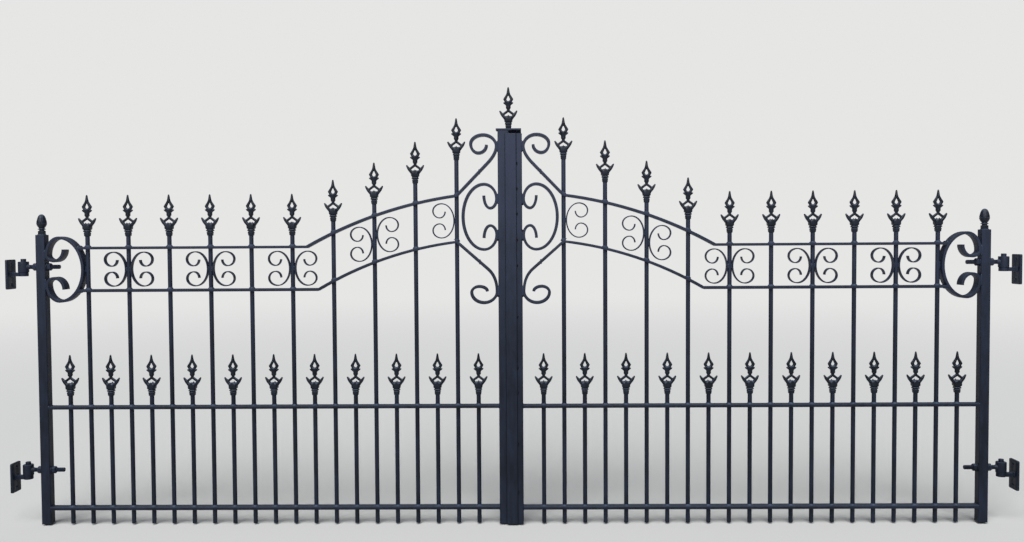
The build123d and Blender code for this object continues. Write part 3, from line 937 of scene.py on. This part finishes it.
def thread(start, end):
    """Outline of a threaded stretch of the bolt."""
    turns = int((end - start) / thread_pitch)
    return [(bolt_radius - (thread_depth if step % 2 else 0), start + step * thread_pitch / 2)
            for step in range(2 * turns + 1)]


def eye_bolt(height):
    """The pieces of one eye bolt, with a washer and a nut on either side of the stile."""
    grip = washer_thickness + nut_height
    outer_nut = hinge_outer_face - eye_axis - grip
    inner_nut = hinge_face - eye_axis + grip
    bolt = (in_mm(shank_outline) + thread(thread_from, outer_nut)
            + [(core_radius, outer_nut), (core_radius, inner_nut)]
            + thread(inner_nut, bolt_length - bolt_tip)
            + [(bolt_tip_radius, bolt_length), (0, bolt_length)])
    eye = skin(lathe(in_mm(eye_outline), wide_turns), "eye", closed=False)
    eye.transform(Matrix.Translation((eye_axis, 0, height)))
    pieces = [eye, along_x(skin(lathe(bolt), "bolt"), eye_axis, height)]
    for washer_x, nut_x in ((hinge_outer_face - washer_thickness, hinge_outer_face - grip),
                            (hinge_face, hinge_face + washer_thickness)):
        ring = skin(lathe(in_mm(washer), slim_turns), "washer")
        pieces += [along_x(ring, washer_x, height), along_x(hex_nut(), nut_x, height)]
    return pieces


def drilled_plate():
    """The hook's plate, upright in Y and Z with its back at X = 0, its two holes open."""
    plate = bmesh.new()
    loops = [(0, rounded_rectangle(plate_width / 2, plate_height / 2, plate_corner))]
    loops += [(rise, *lathe([(hole_radius, 0)], hole_points)) for rise in plate_holes]
    for rise, loop in loops:
        corners = [plate.verts.new((0, y, z + rise)) for y, z, level in loop]
        for i, corner in enumerate(corners):
            plate.edges.new((corner, corners[i - 1]))
    bmesh.ops.triangle_fill(plate, use_beauty=True, edges=plate.edges[:])
    thickened = bmesh.ops.extrude_face_region(plate, geom=plate.faces[:])
    front = [part for part in thickened["geom"] if isinstance(part, bmesh.types.BMVert)]
    bmesh.ops.translate(plate, verts=front, vec=(plate_thickness, 0, 0))
    bmesh.ops.recalc_face_normals(plate, faces=plate.faces)
    rims = [edge for edge in plate.edges
            if len(edge.link_faces) == 2 and edge.calc_face_angle() > pi / 3]
    bmesh.ops.bevel(plate, geom=rims, offset=plate_edge, segments=2, profile=0.5, affect="EDGES")
    return as_mesh(plate, bpy.data.meshes.new("plate"))


def lumpy(mesh):
    """Pushes the skin of a weld in and out a little, as it set."""
    pushed = [vertex.co + vertex.normal * lump_height * noise.noise(vertex.co / lump_pitch)
              for vertex in mesh.vertices]
    for vertex, place in zip(mesh.vertices, pushed):
        vertex.co = place
    return mesh


def wall_hook(height):
    """The pieces of one hook, the weld round its arm among them."""
    boss = skin(lathe(in_mm(boss_outline), wide_turns), "boss")
    pin = skin(lathe(in_mm(pin_outline), slim_turns), "pin")
    for shape in (boss, pin):
        shape.transform(Matrix.Translation((eye_axis, 0, height)))
    plate = drilled_plate()
    plate.transform(Matrix.Translation((eye_axis + plate_back, 0, height + arm_middle)))
    arm_length = -plate_back - plate_thickness
    arm = edged_block((eye_axis - arm_length / 2, 0, height + arm_middle),
                      (arm_length / 2, arm_half_depth, arm_half_height), arm_edge)
    weld = skin([rounded_rectangle(high * mm, wide * mm, fillet_corner, out * mm)
                 for high, wide, out in fillet], "weld")
    along_x(weld, eye_axis + plate_back + plate_thickness, height + arm_middle)
    return [boss, pin, plate, arm, lumpy(weld)]


bolts = [shape for height in eye_heights for shape in eye_bolt(height)]
hang_both(finished(joined(bolts, "eye_bolts"), steel_paint), "eye_bolts_and_nuts", ["eye_bolts"])
for name, height in zip(("lower_hook", "upper_hook"), eye_heights):
    hang_both(finished(joined(wall_hook(height), name), steel_paint), name + "_forging", [name],
              body="wall_hooks")


# The welds: a bead round each bar where it comes up through a rail and under each head, and short
# runs where rails and scrolls meet the stiles, bars and each other, left as laid. Their paint is
# glossier, and lighter in colour as a painted highlight, which gives the eye pale spots on these
# small lumps.
weld_highlight_paint = satin_paint("satin_black_paint_on_welds_with_painted_highlight", ("#1c2739", "#2b384d"), "#5f6d83",
                         grain=2 * mm, relief=0.3 * mm, roughness=(0.34, 0.48))
# (radius, height) from the rail up, in mm
bead_outline = (
    (0, 6), (7.6, 6), (8.6, 5.2), (9.8, 3.6), (11.2, 1.9), (12.8, 0.3), (12.9, -0.6), (0, -0.6))
bead_turns = 20
bead_under_head = (0.8, 0.8, 0.6)
run_half_length = 18 * mm
run_radius = 2.6 * mm
run_ripple = 0.12  # of the radius
run_steps, run_turns = 16, 10
upright_run = (pi / 2, 0, 0)
both = (-1, 1)
outer_weld_x = 6 * mm  # from the middle of the outer scroll's strip to its face
joint_weld_rise = 1.2 * half_strip
on_bar_x, on_bar_y = 2.4 * mm, 6.2 * mm  # from where a scroll's back touches a round bar
touch_y = 16.8 * mm
# (length, girth) of the other runs, in parts of a whole one
band_run, joint_run = (1, 1.5), (1, 1.1)
small_scroll_run, outer_scroll_run, touch_run = (0.5, 1), (0.7, 1), (1.1, 1.45)
block_run, strip_tack, end_tack = (0.75, 0.7), (0.24, 1.5), (0.2, 1.5)


def bead_on(line, x):
    """Place of a bead round a bar, on the top of the rail along a line."""
    slope = (height_on(line, x + mm) - height_on(line, x - mm)) / (2 * mm)
    top = height_on(line, x) + half_strip * sqrt(1 + slope * slope)
    return (x, 0, top), (0, -atan2(slope, 1), 0), full_size


def run_at(x, y, z, turn=upright, size=(1, 1)):
    """Place of a run of weld, along Y unless it is turned, with its length and girth."""
    length, girth = size
    return (x, y, z), turn, (girth, length, girth)


all_bars = (*long_bars, *short_bars)
beads = [bead_on(line, bar_x(n)) for line, numbers
         in zip(rails.values(), (all_bars, all_bars, long_bars, long_bars)) for n in numbers]
beads += [((bar_x(n), 0, top), (pi, 0, 0), bead_under_head)
          for n, top in (long_tops | short_tops).items()]
bead = skin(lathe(in_mm(bead_outline), bead_turns), "bead")

runs = [run_at(x, 0, height + up * half_strip) for x in (meeting_face, hinge_face)
        for height in (bottom_rail_height, middle_rail_height) for up in both]
for line, height in ((upper_line, upper_band_height), (lower_line, lower_band_height)):
    weld_x = outer_scroll_x(height) + outer_weld_x
    runs += [run_at(weld_x, 0, height + up * half_strip, size=band_run) for up in both]
    joint_x, joint_z = line[-1]
    runs += [run_at(joint_x, 0, joint_z + up * joint_weld_rise, size=joint_run) for up in both]
for x, z in small_backs:
    bar_side = 1 if x < bar_x(round((meeting_face - x) / bar_pitch)) else -1
    runs += [run_at(x + bar_side * on_bar_x, y * on_bar_y, z, upright_run, small_scroll_run)
             for y in both]
runs += [run_at(outer_back_x + on_bar_x, y * on_bar_y, band_middle, upright_run, outer_scroll_run)
         for y in both]
touches = [(hinge_face, band_middle + up * outer_side_height) for up in both]
touches += [(meeting_face, inner_middle + up * inner_side_height) for up in both]
touches += [(meeting_face, line[-1][1] + rises[0])
            for line, rises in ((upper_line, upper_volute_rises), (lower_line, lower_volute_rises))]
runs += [run_at(x, y * touch_y, z, upright_run, touch_run) for x, z in touches for y in both]
for turn, (x, y) in ((upright, (block_half, 0)), ((0, 0, pi / 2), (0, block_half))):
    runs += [run_at(finial_x + end * x, end * y, hinge_stile_height, turn, block_run)
             for end in both]
plate_runs = [run_at(meeting_face + x, 0, plate_low.z - foot_z) for x in (0, meeting_tube)]
ripples = []
for step in range(run_steps + 1):
    along = 2 * step / run_steps - 1
    ripples.append((run_radius * (1 + run_ripple * (step % 2)) * sqrt(1 - along ** 6),
                    run_half_length * along))
run = skin(lathe(ripples, run_turns), "run")
run.transform(Matrix.Rotation(pi / 2, 4, "X"))
for side, own_runs in (("left", plate_runs), ("right", [])):
    laid = joined([repeated(bead, beads, weld_highlight_paint, uneven=pi, seed=7),
                   repeated(run, runs + own_runs, weld_highlight_paint, seed=8)], "welds")
    hang(finished(lumpy(laid), weld_highlight_paint), "weld_beads", side)

# The tacks beside the cover strip and at the ends of some runs are near black, in the same finish
# as the lines beside the strip. Heights are in mm above the feet.
strip_tack_x = middle_x - strip_high.x - 0.6 * mm
strip_tack_y = -meeting_tube / 2 - 1.6 * mm
strip_tacks = [run_at(strip_tack_x, strip_tack_y, height * mm, upright_run, strip_tack)
               for height in (1332, 1239, 1148, 1052, 958, 769, 582, 489, 300, 120)]
end_tack_x, end_tack_y = meeting_face - 0.5 * mm, -17.5 * mm
for side, heights, own_tacks in (("left", (1051, 845), []),
                                 ("right", (1181, 1085, 1051, 845), strip_tacks)):
    ends = [run_at(end_tack_x, end_tack_y, height * mm, upright_run, end_tack)
            for height in heights]
    tacks = repeated(run, ends + own_tacks, near_black_finish, seed=9)
    hang(finished(lumpy(tacks), near_black_finish), "bare_tacks", side)
